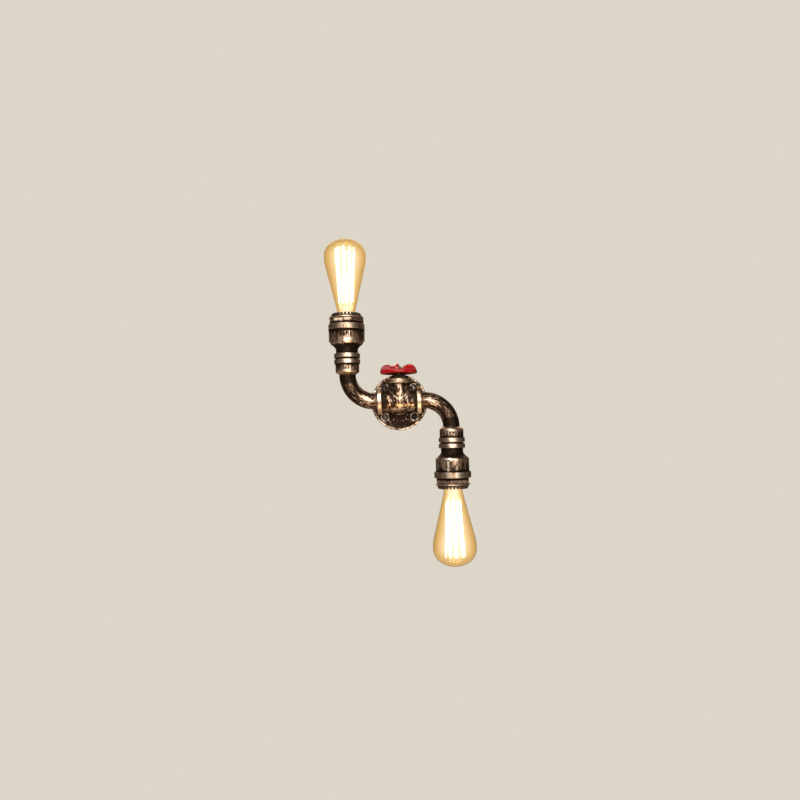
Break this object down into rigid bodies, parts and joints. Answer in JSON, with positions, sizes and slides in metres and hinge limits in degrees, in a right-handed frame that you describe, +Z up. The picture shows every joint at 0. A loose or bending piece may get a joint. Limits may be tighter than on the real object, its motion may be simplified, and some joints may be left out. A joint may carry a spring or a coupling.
{
  "type": "wall sconce",
  "caption": "Wall sconce of iron pipe fittings: a tee on a round floor flange, a red valve wheel, swivelling bends, one lamp up and one down, with long-filament bulbs.",
  "frame": {"origin": "centre of the wall flange's back face, on the wall", "axes": "+Z up, +Y into the wall, so the front of the sconce faces -Y and +X is to the viewer's right"},
  "size_m": [0.2154, 0.087, 0.4884],
  "materials": {
    "aged_iron": "satin",
    "red_paint": "gloss",
    "dark_steel": "satin",
    "old_brass": "satin",
    "black_paint": "satin",
    "bright_brass": "polished",
    "white_ceramic": "satin",
    "black_ceramic": "gloss",
    "packing": "matte",
    "wire_insulation": "matte",
    "connector_plastic": "matte",
    "amber_glass": "gloss",
    "clear_glass": "gloss",
    "support_wire": "satin",
    "glowing_wire": "satin"
  },
  "bodies": {
    "base": {"wall_flange": "aged_iron", "wall_nipple": "dark_steel", "tee_body": "aged_iron", "wire_connectors": "connector_plastic", "valve_bonnet": "old_brass", "gland_packing": "packing", "gland_nut": "old_brass"},
    "valve": {"valve_spindle": "old_brass", "handwheel": "red_paint", "wheel_washer": "dark_steel", "wheel_screw": "dark_steel"},
    "left_arm": {"left_bend": "aged_iron", "left_close_nipple": "dark_steel", "left_reducing_socket": "aged_iron", "left_hex_bushing": "aged_iron", "left_lip_ring": "old_brass", "left_shade_ring": "black_paint", "left_holder_body": "white_ceramic", "left_screw_shell": "bright_brass", "left_centre_contact": "bright_brass", "left_terminal_screws": "bright_brass", "left_leads": "wire_insulation"},
    "left_bulb": {"left_glass_envelope": "amber_glass", "left_glass_stem": "clear_glass", "left_filament_supports": "support_wire", "left_filament": "glowing_wire", "left_lead_in_wires": "support_wire", "left_bulb_cap": "bright_brass", "left_cap_insulator": "black_ceramic", "left_cap_contact": "bright_brass"},
    "right_arm": {"right_bend": "aged_iron", "right_close_nipple": "dark_steel", "right_reducing_socket": "aged_iron", "right_hex_bushing": "aged_iron", "right_lip_ring": "old_brass", "right_shade_ring": "black_paint", "right_holder_body": "white_ceramic", "right_screw_shell": "bright_brass", "right_centre_contact": "bright_brass", "right_terminal_screws": "bright_brass", "right_leads": "wire_insulation"},
    "right_bulb": {"right_glass_envelope": "amber_glass", "right_glass_stem": "clear_glass", "right_filament_supports": "support_wire", "right_filament": "glowing_wire", "right_lead_in_wires": "support_wire", "right_bulb_cap": "bright_brass", "right_cap_insulator": "black_ceramic", "right_cap_contact": "bright_brass"}
  },
  "joints": [
    {"name": "valve_turn", "type": "hinge", "parent": "base", "child": "valve", "pos_m": [0, -0.055, 0], "axis": [0, 0, 1], "continuous": true},
    {"name": "left_arm_swivel", "type": "hinge", "parent": "base", "child": "left_arm", "pos_m": [0, -0.055, 0], "axis": [1, 0, 0], "range_deg": [-5, 185]},
    {"name": "left_bulb_unscrew", "type": "slide", "parent": "left_arm", "child": "left_bulb", "axis": [0, 0, 1], "range_m": [0, 0.036]},
    {"name": "right_arm_swivel", "type": "hinge", "parent": "base", "child": "right_arm", "pos_m": [0, -0.055, 0], "axis": [-1, 0, 0], "range_deg": [-5, 185]},
    {"name": "right_bulb_unscrew", "type": "slide", "parent": "right_arm", "child": "right_bulb", "axis": [0, 0, -1], "range_m": [0, 0.036]}
  ]
}
